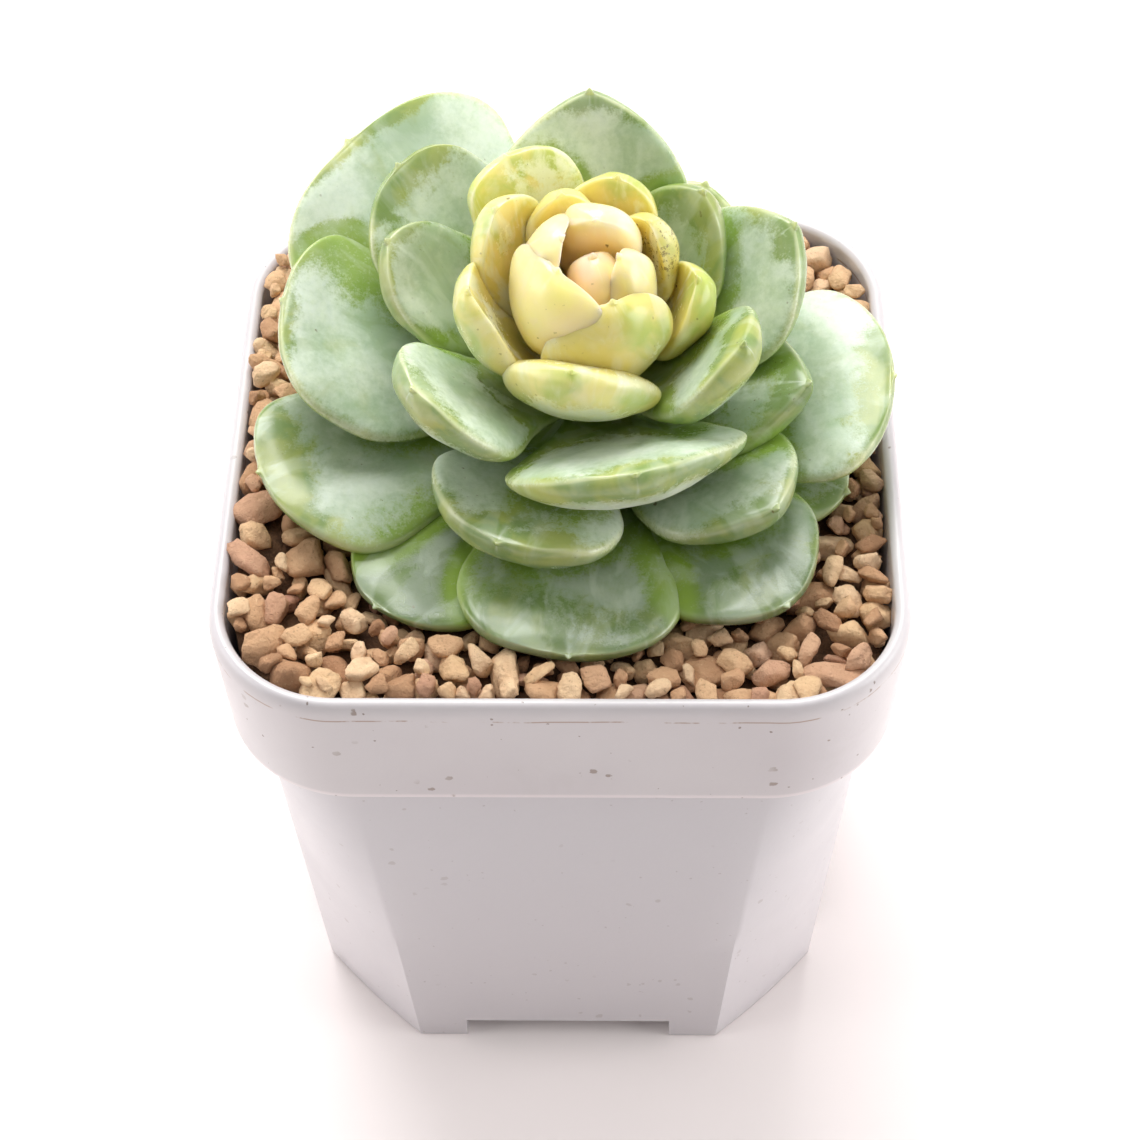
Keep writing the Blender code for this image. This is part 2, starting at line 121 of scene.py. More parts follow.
# How each leaf is worn and tinted: bloom left on it 0..1, half the length of the rubbed zone at
# its tip in mm, yellowing 0..1, painted shade 0..1 (on the bud it tints pink instead), share of
# its length that is bare at the foot, dirt 0..1, and how pointed its end is, from -0.6 for very
# round to 1
STYLES = {
    "heart_bud": (0.2, 0.0, 0.0, 1.0, 0.0, 0.0, 0.3),
    "heart_leaf_1": (0.3, 0.0, 0.0, 0.0, 0.0, 0.25, 0.1),
    "heart_leaf_2": (0.3, 0.0, 0.15, 0.0, 0.0, 0.1, 0.1),
    "heart_leaf_3": (0.2, 1.0, 0.5, 0.0, 0.0, 0.2, 0.4),
    "heart_leaf_4": (0.2, 0.0, 0.9, 0.0, 0.0, 0.25, -0.3),
    "inner_leaf_1": (0.45, 1.0, 0.48, 0.2, 0.8, 0.85, 0.2),
    "inner_leaf_2": (0.35, 1.2, 0.48, 0.1, 0.6, 0.3, -0.2),
    "inner_leaf_3": (0.2, 1.0, 0.64, 0.1, 0.8, 0.2, 0.2),
    "inner_leaf_4": (0.5, 1.0, 0.56, 0.0, 0.7, 0.35, -0.2),
    "inner_leaf_5": (0.4, 1.5, 0.32, 0.1, 0.6, 0.2, 0.3),
    "inner_leaf_6": (0.4, 1.5, 0.32, 0.2, 0.7, 0.2, -0.2),
    "inner_leaf_7": (0.5, 1.2, 0.32, 0.1, 0.6, 0.35, 0.3),
    "inner_leaf_8": (0.6, 1.0, 0.32, 0.0, 0.5, 0.2, 0.7),
    "inner_leaf_9": (0.55, 1.0, 0.4, 0.0, 0.6, 0.4, -0.6),
    "middle_leaf_1": (0.8, 1.2, 0.4, 0.0, 0.5, 0.1, 0.6),
    "middle_leaf_2": (0.75, 0.9, 0.3, 0.2, 0.5, 0.35, 0.2),
    "middle_leaf_3": (0.6, 1.2, 0.2, 0.2, 0.6, 0.25, 0.3),
    "middle_leaf_4": (0.85, 1.32, 0.25, 0.0, 0.45, 0.2, 0.1),
    "middle_leaf_5": (0.95, 0.9, 0.4, 0.0, 0.58, 0.1, 0.75),
    "middle_leaf_6": (1.0, 0.8, 0.35, 0.0, 0.45, 0.05, 0.5),
    "middle_leaf_7": (0.85, 1.2, 0.2, 0.0, 0.55, 0.1, 0.8),
    "middle_leaf_8": (0.7, 1.44, 0.2, 0.0, 0.55, 0.1, -0.4),
    "middle_leaf_9": (0.7, 1.44, 0.1, 0.4, 0.55, 0.5, 1.0),
    "outer_leaf_1": (0.8, 2.0, 0.4, 0.25, 0.35, 0.35, -0.1),
    "outer_leaf_2": (0.95, 0.6, 0.5, 0.0, 0.3, 0.1, -0.6),
    "outer_leaf_3": (0.9, 0.8, 0.3, 0.05, 0.35, 0.25, -0.4),
    "outer_leaf_4": (0.75, 1.2, 0.1, 0.4, 0.4, 0.2, 0.8),
    "outer_leaf_5": (0.9, 0.6, 0.5, 0.0, 0.3, 0.2, 0.3),
    "outer_leaf_6": (0.75, 1.2, 0.3, 0.05, 0.4, 0.3, -0.3),
    "outer_leaf_7": (0.85, 2.2, 0.4, 0.45, 0.3, 0.4, -0.4),
    "outer_leaf_8": (0.8, 1.2, 0.3, 0.2, 0.3, 0.1, 0.2),
    "outer_leaf_9": (0.8, 2.4, 0.1, 0.8, 0.2, 0.25, -0.5),
    "outer_leaf_10": (0.8, 1.2, 0.2, 0.1, 0.2, 0.1, 0.2),
    "outer_leaf_11": (0.75, 2.0, 0.05, 0.95, 0.2, 0.2, 0.1),
    "outer_leaf_12": (0.6, 1.6, 0.05, 1.0, 0.2, 0.2, -0.2),
    "outer_leaf_13": (0.7, 1.2, 0.1, 0.4, 0.2, 0.1, 0.1),
    "outer_leaf_14": (0.7, 1.2, 0.3, 0.2, 0.2, 0.1, 0.1),
    "outer_leaf_15": (0.7, 1.2, 0.1, 0.5, 0.2, 0.1, 0.1),
    "outer_leaf_16": (0.6, 1.2, 0.0, 1.0, 0.2, 0.1, 0.1),
}
STYLE_KEYS = ("bloom", "band", "yellowing", "shade", "bare", "dirt")  # the first six, in order
POINT = len(STYLE_KEYS)  # where a style's row gives how pointed the end is


# --- materials ---------------------------------------------------------------------------------


def srgb(red, green, blue):
    """A colour given as 0..255 display values, as the linear colour that nodes use."""
    linear = []
    for value in (red, green, blue):
        v = value / 255
        linear.append(v / 12.92 if v <= 0.04045 else ((v + 0.055) / 1.055) ** 2.4)
    return (*linear, 1.0)


class Net:
    """Short hand for the nodes of one material."""

    def __init__(self, name, **sockets):
        self.material = bpy.data.materials.new(name)
        self.material.use_nodes = True
        self.tree = self.material.node_tree
        self.shader = self.tree.nodes["Principled BSDF"]
        for key, value in sockets.items():
            self.shader.inputs[key.replace("_", " ")].default_value = value
        self.place = self.node("TexCoord").outputs["Object"]

    def node(self, kind, inputs=None, **settings):
        node = self.tree.nodes.new("ShaderNode" + kind)
        for key, value in settings.items():
            setattr(node, key, value)
        for key, value in (inputs or {}).items():
            self.feed(node.inputs[key], value)
        return node

    def feed(self, socket, value):
        if isinstance(value, bpy.types.NodeSocket):
            self.tree.links.new(value, socket)
        else:
            socket.default_value = value

    def math(self, operation, a, b=0.5, clamp=False):
        node = self.node("Math", {0: a, 1: b}, operation=operation)
        node.use_clamp = clamp
        return node.outputs[0]

    def mix(self, share, a, b):
        node = self.node("Mix", {0: share, 6: a, 7: b}, data_type="RGBA")
        return node.outputs[2]

    def ease(self, value, low, high, start=0.0, end=1.0):
        """A smooth step that follows value, from start at low to end at high."""
        inputs = {"Value": value, "From Min": low, "From Max": high, "To Min": start, "To Max": end}
        return self.node("MapRange", inputs, interpolation_type="SMOOTHSTEP").outputs["Result"]

    def noise(self, scale, detail=3.0, rough=0.55, offset=None, warp=0.0):
        place = self.place
        if offset:
            place = self.node("VectorMath", {0: place, 1: offset}, operation="ADD").outputs[0]
        inputs = {
            "Vector": place, "Scale": scale, "Detail": detail, "Roughness": rough,
            "Distortion": warp,
        }
        return self.node("TexNoise", inputs).outputs[0]

    def specks(self, scale, size, share):
        """1 inside small uneven specks, one for a share of the cells of the given scale."""
        bend = self.node("TexNoise", {"Vector": self.place, "Scale": 2.0 * scale, "Detail": 3.0})
        place = self.node(
            "VectorMath", {0: bend.outputs["Color"], 1: (0.5 / scale,) * 3, 2: self.place},
            operation="MULTIPLY_ADD",
        ).outputs[0]
        cells = self.node("TexVoronoi", {"Vector": place, "Scale": scale})
        split = self.node("SeparateColor", {0: cells.outputs["Color"]})
        chosen = self.math("LESS_THAN", split.outputs[0], share)
        radius = self.math("MULTIPLY", split.outputs[1], size)
        inside = self.ease(self.math("SUBTRACT", cells.outputs["Distance"], radius), 0.0, -0.06)
        return self.math("MULTIPLY", inside, chosen)

    def attribute(self, name):
        return self.node("Attribute", attribute_name=name).outputs["Fac"]

    def bump(self, height, strength, distance):
        inputs = {"Height": height, "Strength": strength, "Distance": distance}
        self.feed(self.shader.inputs["Normal"], self.node("Bump", inputs).outputs["Normal"])

    def finish(self, colour, rough):
        self.feed(self.shader.inputs["Base Color"], colour)
        self.feed(self.shader.inputs["Roughness"], rough)
        return self.material


def leaf_material(
    name, fresh, yellow, deep, foot_and_glow_colour, bloom, pale_bloom, edge, glow, scatter, haze
):
    """Waxy skin: fresh flesh under a powdery bloom that is rubbed off at the tip and the rim.

    Shade on shaded leaves, a glow of light in recesses and sheen streaks are painted in, and the
    pale rim is partly a painted highlight.
    """
    net = Net(
        name, Subsurface_Weight=glow, Subsurface_Radius=(1.0, 0.95, 0.4),
        Subsurface_Scale=scatter * MM, Specular_IOR_Level=0.5,
        Coat_Weight=0.22, Coat_Roughness=0.26,
    )
    rim = net.attribute("rim")
    upper = net.attribute("upper")
    along = net.attribute("along")
    across = net.attribute("across")
    wide = net.noise(95.0, 3.0, 0.5, warp=0.6)
    patch = net.noise(260.0, 4.0, 0.6, warp=0.8)
    fine = net.noise(1500.0, 4.0, 0.65)
    grain = net.noise(5200.0, 2.0, 0.5)
    lengthwise = net.node("CombineXYZ", {0: net.attribute("side"), 1: net.attribute("run")})
    lengthwise = net.node(
        "VectorMath", {0: lengthwise.outputs[0], 1: (0.36, 0.16, 1.0)}, operation="MULTIPLY",
    )
    streak = net.node("TexNoise", {
        "Vector": lengthwise.outputs[0], "Scale": 1.0, "Detail": 5.0, "Distortion": 0.7,
    }).outputs[0]

    # flesh, with painted shade on shaded leaves and a painted glow in recesses
    mottle = net.noise(150.0, 3.0, 0.55, offset=(0.3, 0.1, 0.2), warp=0.8)
    mottle = net.ease(mottle, 0.36, 0.64, -0.6, 0.5)
    tint = net.math("ADD", net.attribute("yellowing"), mottle, clamp=True)
    flesh = net.mix(tint, fresh, yellow)
    # painted shade: the flesh darkens towards the deep colour by the leaf's shade value (the bud's
    # deep colour is its own pink)
    dark = net.math("MULTIPLY", net.attribute("shade"), net.ease(patch, 0.25, 0.7, 0.5, 1.0))
    flesh = net.mix(dark, flesh, deep)
    # painted glow: near other leaves the flesh turns to a warm, bright tint as if lit through;
    # towards the foot the same tint is partly its own colour
    painted_recess_glow = net.math("ADD", net.attribute("near"), net.math("MULTIPLY", patch, 0.5))
    painted_recess_glow = net.ease(painted_recess_glow, 0.5, 1.15)
    foot = net.math("MAXIMUM", net.ease(along, 0.65, 0.2, 0.0, 0.8), painted_recess_glow)
    flesh = net.mix(net.math("MULTIPLY", foot, 0.85), flesh, foot_and_glow_colour)

    # bloom: lost towards the tip and the sides, in worn patches, and thin on the underside
    ragged = net.math("MULTIPLY", net.math("SUBTRACT", patch, 0.5), 2.4)
    ragged = net.math("ADD", ragged, net.math("MULTIPLY", net.math("SUBTRACT", wide, 0.5), 4.0))
    run = net.attribute("run")
    to_tip = net.math("SUBTRACT", net.math("DIVIDE", run, net.math("MAXIMUM", along, 0.02)), run)
    reach = net.math("MULTIPLY", net.attribute("band"), 2.0)
    tip = net.math("DIVIDE", to_tip, net.math("MAXIMUM", reach, 0.05))
    tip = net.ease(net.math("ADD", tip, ragged), -0.2, 2.1)
    side = net.math("ADD", net.math("DIVIDE", rim, 0.9), net.math("MULTIPLY", ragged, 0.35))
    band = net.math("MULTIPLY", tip, net.ease(side, 0.0, 1.5, 0.5, 1.0))
    level = net.attribute("bloom")
    worn = net.math("ADD", level, net.math("MULTIPLY", net.math("SUBTRACT", patch, 0.5), 1.1))
    worn = net.ease(worn, 0.2, 0.75)
    cover = net.math("MULTIPLY", band, worn)
    start = net.math("SUBTRACT", along, net.attribute("bare"))
    start = net.math("ADD", start, net.math("MULTIPLY", net.math("SUBTRACT", patch, 0.5), 0.55))
    cover = net.math("MULTIPLY", cover, net.ease(start, -0.12, 0.14))
    # part of the painted glow: most of the bloom goes in recesses
    cover = net.math("MULTIPLY", cover, net.ease(painted_recess_glow, 0.0, 1.0, 1.0, 0.25))
    below = net.ease(upper, 0.05, -0.15)
    thin = net.math("MULTIPLY", below, net.ease(rim, 4.5, 1.0, 0.2, 0.85))
    cover = net.math("MULTIPLY", cover, net.math("SUBTRACT", 1.0, thin))
    stipple = net.math("ADD", net.math("MULTIPLY", fine, 0.7), net.math("MULTIPLY", grain, 0.5))
    stipple = net.math("MULTIPLY", net.math("SUBTRACT", stipple, 0.6), 0.9)
    cover = net.math("ADD", cover, stipple)
    cover = net.ease(cover, 0.12, 0.9)
    lit = net.ease(net.math("ADD", wide, net.math("MULTIPLY", fine, 0.3)), 0.5, 0.85)
    dust = net.mix(lit, bloom, pale_bloom)
    # painted shade: the bloom darkens towards the deep colour too
    dust = net.mix(net.math("MULTIPLY", net.attribute("shade"), 0.75), dust, deep)
    colour = net.mix(net.ease(cover, 0.0, 1.0, 0.16, 0.9), flesh, dust)

    # pale streaks along the leaf, stronger on the upper face: partly milky bloom, partly painted
    # sheen
    milky_bloom_and_painted_sheen = net.ease(upper, -0.6, 0.2, 0.3, 0.75)
    milky_bloom_and_painted_sheen = net.math("MULTIPLY", net.ease(streak, 0.46, 0.62), milky_bloom_and_painted_sheen)
    colour = net.mix(net.math("MULTIPLY", milky_bloom_and_painted_sheen, haze), colour, pale_bloom)
    colour = net.mix(net.ease(streak, 0.44, 0.28, 0.0, 0.25), colour, flesh)

    # the keel's pale line, and the pale rim: partly the rim's own colour, partly a painted
    # highlight, and weaker on leaves with painted shade
    keel = net.ease(net.math("ABSOLUTE", across), 0.09, 0.0)
    keel = net.math("MULTIPLY", keel, net.ease(patch, 0.4, 0.7, 0.0, 0.35))
    colour = net.mix(net.math("MULTIPLY", keel, net.ease(along, 0.6, 0.95)), colour, pale_bloom)
    line = net.ease(rim, 0.55, 0.0, 0.0, 0.5)
    line = net.math("MULTIPLY", line, net.ease(wide, 0.3, 0.6, haze, 1.0))
    line = net.math("MULTIPLY", line, net.ease(net.attribute("shade"), 0.0, 1.0, 1.0, 0.4))
    colour = net.mix(line, colour, edge)

    # small brown scars
    scars = net.specks(420.0, 0.16, 0.3)
    scars = net.math("MULTIPLY", scars, net.ease(net.noise(900.0, 2.0, 0.6), 0.4, 0.55))
    dots = net.math("MULTIPLY", net.specks(1100.0, 0.2, 0.3), 0.55)
    dots = net.math("MULTIPLY", dots, net.ease(net.noise(60.0, 2.0, 0.5), 0.45, 0.6))
    marks = net.math("MAXIMUM", scars, dots)
    soiled = net.math("MULTIPLY", net.attribute("dirt"), net.ease(patch, 0.42, 0.62))
    soiled = net.math("ADD", net.math("MULTIPLY", soiled, 0.22), net.noise(2300.0, 4.0, 0.75))
    marks = net.math("MAXIMUM", marks, net.ease(soiled, 0.7, 0.8))
    colour = net.mix(net.math("MULTIPLY", marks, 0.75), colour, srgb(98, 80, 48))

    rough = net.ease(cover, 0.0, 1.0, 0.25, 0.4)
    rough = net.math("ADD", rough, net.math("MULTIPLY", net.math("SUBTRACT", fine, 0.5), 0.12))
    height = net.math("ADD", net.math("MULTIPLY", fine, 0.5), net.math("MULTIPLY", cover, 0.5))
    height = net.math("ADD", height, net.math("MULTIPLY", grain, 0.12))
    net.bump(height, 0.22, 0.12 * MM)
    return net.finish(colour, rough)


def grit_material():
    """Tan stone, each stone with a tone of its own, pitted and dusty."""
    net = Net("grit_stone", Specular_IOR_Level=0.25)
    tone = net.attribute("tone")
    patch = net.noise(700.0, 4.0, 0.6)
    fine = net.noise(2200.0, 5.0, 0.72)
    ramp = net.node("ValToRGB", {0: tone})
    stops = ramp.color_ramp.elements
    stops[0].color = srgb(158, 116, 86)
    stops[1].color = srgb(248, 214, 176)
    for position, colour in (
        (0.2, srgb(210, 166, 128)), (0.5, srgb(232, 192, 150)),
        (0.72, srgb(236, 200, 156)), (0.86, srgb(244, 211, 170)),
    ):
        stops.new(position).color = colour
    colour = net.mix(net.ease(patch, 0.3, 0.75, 0.0, 0.45), ramp.outputs[0], srgb(204, 157, 121))
    blush = net.math("MULTIPLY", net.ease(net.attribute("blush"), 0.8, 0.95), 0.5)
    colour = net.mix(blush, colour, srgb(196, 146, 128))
    colour = net.mix(net.ease(fine, 0.56, 0.75, 0.0, 0.5), colour, srgb(240, 212, 172))
    pits = net.ease(fine, 0.42, 0.28, 0.0, 0.6)
    colour = net.mix(pits, colour, srgb(128, 88, 60))
    height = net.math("ADD", fine, net.math("MULTIPLY", patch, 1.8))
    net.bump(height, 0.9, 0.4 * MM)
    return net.finish(colour, net.ease(fine, 0.3, 0.7, 0.82, 0.96))


def soil_material():
    """Dark, crumbly soil with paler crumbs."""
    net = Net("dark_soil", Specular_IOR_Level=0.2)
    patch = net.noise(500.0, 5.0, 0.7)
    fine = net.noise(2600.0, 4.0, 0.7)
    colour = net.mix(net.ease(patch, 0.3, 0.7), srgb(78, 56, 42), srgb(132, 98, 72))
    colour = net.mix(net.ease(fine, 0.6, 0.72, 0.0, 0.6), colour, srgb(150, 116, 88))
    net.bump(net.math("ADD", fine, patch), 0.9, 0.6 * MM)
    return net.finish(colour, net.ease(fine, 0.3, 0.7, 0.85, 1.0))


def stem_material():
    """Dull green to brown bark."""
    net = Net("stem_bark", Specular_IOR_Level=0.3)
    patch = net.noise(420.0, 4.0, 0.6)
    fine = net.noise(2000.0, 4.0, 0.6)
    colour = net.mix(net.ease(patch, 0.3, 0.7), srgb(150, 146, 88), srgb(120, 104, 70))
    colour = net.mix(net.ease(fine, 0.55, 0.7, 0.0, 0.5), colour, srgb(92, 72, 50))
    net.bump(net.math("ADD", fine, patch), 0.6, 0.4 * MM)
    return net.finish(colour, net.ease(fine, 0.3, 0.7, 0.6, 0.85))


def pot_material():
    """White plastic with a thin line of dirt round the lip, specks and faint smudges.

    Painted in as well: shade on the body just under the band, fading lower down, and a highlight
    along the band's lower edge.
    """
    net = Net(
        "white_plastic_pot", Specular_IOR_Level=0.5, Subsurface_Weight=0.25,
        Subsurface_Radius=(1.0, 0.95, 0.9), Subsurface_Scale=1.2 * MM,
        Coat_Weight=0.15, Coat_Roughness=0.2,
    )
    wide = net.noise(38.0, 3.0, 0.5)
    smudge = net.noise(70.0, 5.0, 0.65, warp=0.5)
    fine = net.noise(1400.0, 3.0, 0.6)
    colour = net.mix(net.ease(wide, 0.35, 0.7), srgb(204, 200, 202), srgb(199, 194, 197))
    colour = net.mix(net.ease(smudge, 0.6, 0.82, 0.0, 0.22), colour, srgb(176, 172, 168))
    height = net.node("SeparateXYZ", {0: net.place}).outputs[2]
    underside = POT_TOP - BAND_HEIGHT * MM
    # painted shade: the body below the band is darker just under it and paler further down
    under = net.ease(height, underside + 0.3 * MM, underside - 0.3 * MM)
    painted_band_shade = net.ease(height, POT_TOP - BAND_SHADE_DEPTH * MM, underside, 0.35, 1.0)
    body = net.mix(painted_band_shade, srgb(215, 209, 212), srgb(201, 199, 203))
    colour = net.mix(under, colour, body)
    # painted highlight: a pale line along the band's lower edge
    from_ridge = net.math("ABSOLUTE", net.math("SUBTRACT", height, underside + 0.4 * MM))
    painted_ridge_highlight = net.ease(from_ridge, 0.6 * MM, 0.2 * MM, 0.0, 0.6)
    colour = net.mix(painted_ridge_highlight, colour, srgb(230, 222, 224))
    wander = net.math("SUBTRACT", net.noise(60.0, 3.0, 0.6), 0.5)
    wander = net.math("MULTIPLY", wander, 0.9 * MM)
    from_line = net.math("SUBTRACT", height, POT_TOP - DIRT_LINE_DEPTH * MM)
    from_line = net.math("ADD", from_line, wander)
    line = net.ease(net.math("ABSOLUTE", from_line), 0.16 * MM, 0.04 * MM)
    line = net.math("MULTIPLY", line, net.ease(net.noise(210.0, 4.0, 0.7), 0.44, 0.54))
    colour = net.mix(net.math("MULTIPLY", line, 0.75), colour, srgb(150, 118, 92))
    on_band = net.ease(height, underside - 4 * MM, underside + 1 * MM, 0.35, 1.0)
    dirt = net.math("MULTIPLY", net.specks(560.0, 0.27, 0.34), on_band)
    dirt = net.math("MULTIPLY", dirt, net.ease(net.noise(70.0, 2.0, 0.5), 0.46, 0.56))
    colour = net.mix(net.math("MULTIPLY", dirt, 0.7), colour, srgb(128, 108, 92))
    small = net.math("MULTIPLY", net.specks(1300.0, 0.24, 0.16), on_band)
    colour = net.mix(net.math("MULTIPLY", small, 0.75), colour, srgb(118, 100, 88))
    net.bump(net.math("ADD", fine, net.math("MULTIPLY", wide, 2.0)), 0.08, 0.2 * MM)
    rough = net.ease(smudge, 0.3, 0.8, 0.3, 0.46)
    return net.finish(colour, rough)


def floor_material():
    """Plain, pale and dull."""
    net = Net("pale_floor", Specular_IOR_Level=0.2)
    wide = net.noise(6.0, 2.0, 0.5)
    colour = net.mix(wide, srgb(252, 243, 241), srgb(253, 245, 243))
    return net.finish(colour, net.ease(wide, 0.0, 1.0, 0.75, 0.85))


# --- meshes ------------------------------------------------------------------------------------


def piece(name, verts, faces, material, node_names, smooth=True, attributes=None):
    """A mesh object that rides on the part and stands for the named CAD nodes."""
    mesh = bpy.data.meshes.new(name)
    mesh.from_pydata([tuple(v) for v in verts], [], faces)
    mesh.validate()
    if smooth:
        mesh.shade_smooth()
    for key, values in (attributes or {}).items():
        data = mesh.attributes.new(key, "FLOAT", "POINT")
        data.data.foreach_set("value", np.asarray(values, dtype=np.float32))
    mesh.materials.append(material)
    obj = bpy.data.objects.new(name, mesh)
    bpy.context.scene.collection.objects.link(obj)
    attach(obj, "root")
    if node_names:
        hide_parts(*node_names)
    return obj


def tube_faces(rings, sides):
    """Quads between each ring of vertices and the next, and a cap on both ends."""
    faces = []
    for ring in range(rings - 1):
        a, b = ring * sides, (ring + 1) * sides
        for k in range(sides):
            n = (k + 1) % sides
            faces.append((a + k, a + n, b + n, b + k))
    faces.append(tuple(range(sides - 1, -1, -1)))
    faces.append(tuple((rings - 1) * sides + k for k in range(sides)))
    return faces


# --- leaves ------------------------------------------------------------------------------------

LEAF_RINGS = 58
LEAF_SIDES = 56
LEAST_HALF_WIDTH = 0.5
LEAST_DEPTHS = (0.22, 0.34)  # above and below the rim's crease
ROOTING = 0.4  # how far a leaf's foot reaches into the stem
NEAR = 4.0 * MM
MUCRO_STEPS = ((0.12, 0.4), (0.28, 0.27), (0.42, 0.15), (0.52, 0.05))  # reach, radius


def stem_radius_at(height):
    """The tapering stem's radius in mm."""
    share = min(1.0, max(0.0, height / STEM_HEIGHT))
    return STEM_RADIUS + (STEM_TOP_RADIUS - STEM_RADIUS) * share**1.5


def blade_width(t, point):
    """Share of the half-width at share t of the length; point makes the end less round."""
    foot, widest = 0.34, 0.66 - 0.06 * point
    if t <= widest:
        s = t / widest
        return foot + (1 - foot) * s * s * (3 - 2 * s)
    s = (t - widest) / (1 - widest)
    return max(0.0, 1 - s ** (2.3 - 0.5 * point)) ** (0.5 + 0.28 * point)


def blade_depths(t):
    """Thickness above and below the rim's crease: the end is blunt below and thin above."""
    s = min(1.0, t / 0.55)
    body = 0.5 + 0.5 * s * s * (3 - 2 * s)
    late = max(0.0, (t - 0.45) / 0.55)
    return body * (1 - late**3.0) ** 0.65, body * math.sqrt(max(0.0, 1 - late**4.2))


def leaf_shape(row, seed):
    """Vertices, faces and attributes of one leaf, its skin gently uneven."""
    name, azimuth, foot, reach, rise, width, thick, sag, roll, cup = row
    start = Vector((stem_radius_at(foot) - ROOTING, 0.0, foot))
    end = Vector((reach, 0.0, rise))
    chord = end - start
    length = chord.length
    down = Vector((chord.z, 0.0, -chord.x)).normalized()
    control = start + 0.5 * chord + 2 * sag * down
    place = ROSETTE @ Matrix.Rotation(math.radians(azimuth), 4, "Z") @ Matrix.Scale(MM, 4)
    keel = 0.45 if name.startswith(("middle", "inner")) else 0.2
    crease = 1.15 if name.startswith("middle") else 0.9
    verts, stations = [], []
    values = {key: [] for key in ("along", "across", "upper", "rim", "side", "run")}
    for i in range(LEAF_RINGS):
        t = (1 - (1 - i / (LEAF_RINGS - 1)) ** 1.8) * 0.9992
        tangent = (2 * (1 - t) * (control - start) + 2 * t * (end - control)).normalized()
        spot = (1 - t) ** 2 * start + 2 * t * (1 - t) * control + t * t * end
        above, below = blade_depths(t)
        half = 0.5 * width * blade_width(t, STYLES[name][POINT])
        stations.append((
            t, spot, tangent, max(LEAST_HALF_WIDTH, half),
            max(LEAST_DEPTHS[0], 0.46 * thick * above), max(LEAST_DEPTHS[1], 0.66 * thick * below),
        ))
    tangent = (end - control).normalized()
    for reach_out, radius in MUCRO_STEPS:
        stations.append((1.0, end + reach_out * tangent, tangent, radius, 0.5 * radius, radius))
    for t, spot, tangent, half, above, below in stations:
        turn = Matrix.Rotation(math.radians(roll) * min(1.0, 2 * t), 3, tangent)
        side = turn @ Vector((0, 1, 0))
        normal = tangent.cross(side)
        for k in range(LEAF_SIDES):
            angle = 2 * math.pi * k / LEAF_SIDES
            c, s = math.cos(angle), math.sin(angle)
            across = math.copysign(abs(c) ** 0.86, c)
            bulge = noise.noise(Vector((2.6 * t, 1.5 * c, seed * 3.7)))
            bulge = 1 + 0.26 * bulge * min(1.0, 4 * t)
            if s > 0:
                lift = above * s**crease
            else:
                lift = -below * ((1 - keel) * abs(s) ** 0.8 + keel * abs(s) ** 1.5)
            lift += cup * half * across * across
            point = spot + side * half * across * bulge + normal * lift
            wave = noise.noise(point * 0.16 + Vector((seed, 0, 0)))
            ripple = noise.noise(point * 0.5 + Vector((0, seed, 0)))
            calm = min(1.0, half / 3.0)
            point = point + normal * (0.32 * wave + 0.07 * ripple) * calm
            verts.append(place @ point)
            to_rim = min(half * (1 - abs(across)), length * (1 - t))
            values["along"].append(t)
            values["across"].append(across)
            values["upper"].append(s)
            values["rim"].append(to_rim if s >= 0 else to_rim + 0.4)
            values["side"].append(half * across + 3 * seed)
            values["run"].append(length * t)
    faces = tube_faces(len(stations), LEAF_SIDES)
    return verts, faces, values


def closeness(shapes):
    """For each leaf's vertices, how near another leaf's skin is: 1 touching, 0 from NEAR up."""
    trees, lows, highs, points = [], [], [], []
    for verts, faces, _ in shapes:
        trees.append(BVHTree.FromPolygons(verts, faces))
        points.append(np.array([tuple(v) for v in verts]))
        lows.append(points[-1].min(axis=0) - NEAR)
        highs.append(points[-1].max(axis=0) + NEAR)
    result = []
    for i, own in enumerate(points):
        gap = np.full(len(own), NEAR)
        for j, tree in enumerate(trees):
            if i == j:
                continue
            for k in np.nonzero(((own > lows[j]) & (own < highs[j])).all(axis=1))[0]:
                distance = tree.find_nearest(own[k], NEAR)[3]
                if distance is not None and distance < gap[k]:
                    gap[k] = distance
        result.append(1 - gap / NEAR)
    return result


def build_leaves():
    """A skin for every leaf, tinted by the leaf's whorl."""
    green = leaf_material(
        "leaf_skin_green", srgb(122, 148, 66), srgb(176, 182, 88), srgb(84, 106, 60),
        srgb(136, 168, 32), srgb(174, 196, 166), srgb(226, 236, 222), srgb(226, 230, 190),
        glow=0.32, scatter=2.2, haze=0.3,
    )
    yellow = leaf_material(
        "leaf_skin_yellow", srgb(182, 198, 90), srgb(238, 224, 142), srgb(196, 178, 84),
        srgb(230, 210, 104), srgb(216, 224, 176), srgb(242, 246, 226), srgb(244, 238, 190),
        glow=0.5, scatter=3.0, haze=0.8,
    )
    cream = leaf_material(
        "leaf_skin_cream", srgb(255, 226, 190), srgb(254, 236, 146), srgb(255, 206, 190),
        srgb(254, 226, 150), srgb(253, 232, 206), srgb(254, 240, 222), srgb(255, 242, 220),
        glow=0.8, scatter=4.0, haze=0.3,
    )
    skins = {"heart": (cream, "leaf_cream"), "inner": (yellow, "leaf_yellow")}
    shapes = [leaf_shape(row, 7.3 * number) for number, row in enumerate(LEAVES)]
    for row, (verts, faces, values), near in zip(LEAVES, shapes, closeness(shapes)):
        name = row[0]
        skin, slot = skins.get(name.split("_")[0], (green, "leaf_green"))
        # how near other leaves are, which places the painted glow in recesses
        values["near"] = near
        for key, value in zip(STYLE_KEYS, STYLES[name]):
            values[key] = [value] * len(verts)
        piece("skin_" + name, verts, faces, skin, [name], attributes=values)


# --- stem --------------------------------------------------------------------------------------


STEM_SIDES = 28
STEM_RINGS = 31
STEM_SUNK = 6.0  # how far the stem reaches below the crown


